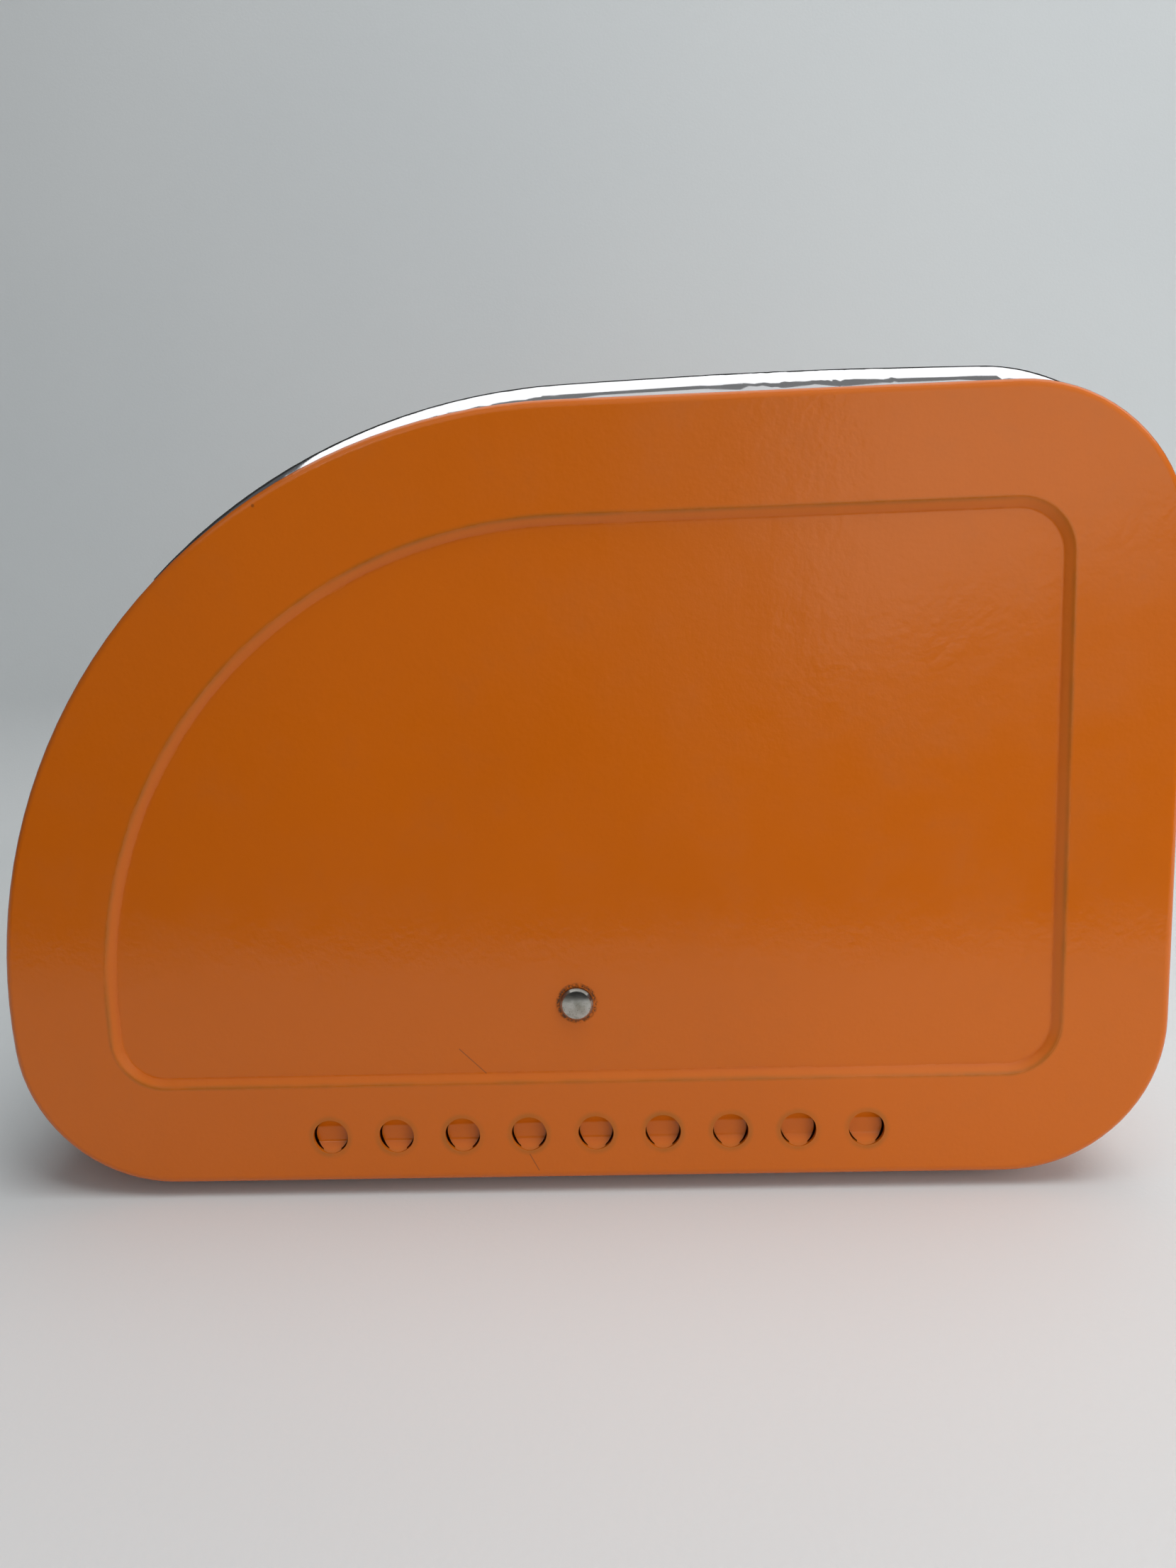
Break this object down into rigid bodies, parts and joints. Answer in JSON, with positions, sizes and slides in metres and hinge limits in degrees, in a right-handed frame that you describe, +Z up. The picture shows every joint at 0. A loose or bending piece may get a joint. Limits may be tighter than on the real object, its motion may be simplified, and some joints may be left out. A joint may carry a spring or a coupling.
{
  "type": "roll-top bread bin",
  "caption": "Roll-top bread bin with orange enamelled side panels, low side vents, a round-shouldered chrome hood and a chrome lid that turns up inside the hood.",
  "frame": {"origin": "centre of the bounding box in X and Y, on the underside of the feet", "axes": "+Z up, front and lid handle towards -Y, lid axis along X"},
  "size_m": [0.3608, 0.292, 0.1874],
  "materials": {
    "orange_enamel": "stove enamel, satin gloss with fine orange peel",
    "polished_chrome": "polished chrome plate",
    "steel_wire": "bright drawn wire",
    "satin_steel": "satin plated sheet",
    "rivet_steel": "satin, lightly pitted",
    "screw_steel": "zinc plated",
    "nylon": "natural nylon",
    "dark_plastic": "moulded, glossy",
    "foot_plastic": "moulded, matt",
    "buffer_rubber": "matt"
  },
  "bodies": {
    "bin": {"side_panel_right": "orange_enamel", "side_panel_left": "orange_enamel", "base_tray": "orange_enamel", "hood": "polished_chrome", "hood_edge_wire": "steel_wire", "pivot_rivet_left": "rivet_steel", "pivot_rivet_right": "rivet_steel", "seam_rivets": "rivet_steel", "foot_rivets": "rivet_steel", "pivot_washer_left": "rivet_steel", "pivot_washer_right": "rivet_steel", "pivot_spacer_left": "rivet_steel", "pivot_spacer_right": "rivet_steel", "foot_front_left": "foot_plastic", "foot_front_right": "foot_plastic", "foot_rear_left": "foot_plastic", "foot_rear_right": "foot_plastic", "sill_buffers": "buffer_rubber"},
    "lid": {"lid_shell": "polished_chrome", "lid_edge_wire": "steel_wire", "lid_cheek_left": "satin_steel", "lid_cheek_right": "satin_steel", "cheek_bush_left": "nylon", "cheek_bush_right": "nylon", "cheek_rivets_left": "rivet_steel", "cheek_rivets_right": "rivet_steel", "lid_handle": "dark_plastic", "handle_screws": "screw_steel"}
  },
  "joints": [
    {"name": "lid_turn", "type": "hinge", "parent": "bin", "child": "lid", "pos_m": [0, 0.011, 0.0467], "axis": [-1, 0, 0], "range_deg": [0, 48]}
  ]
}
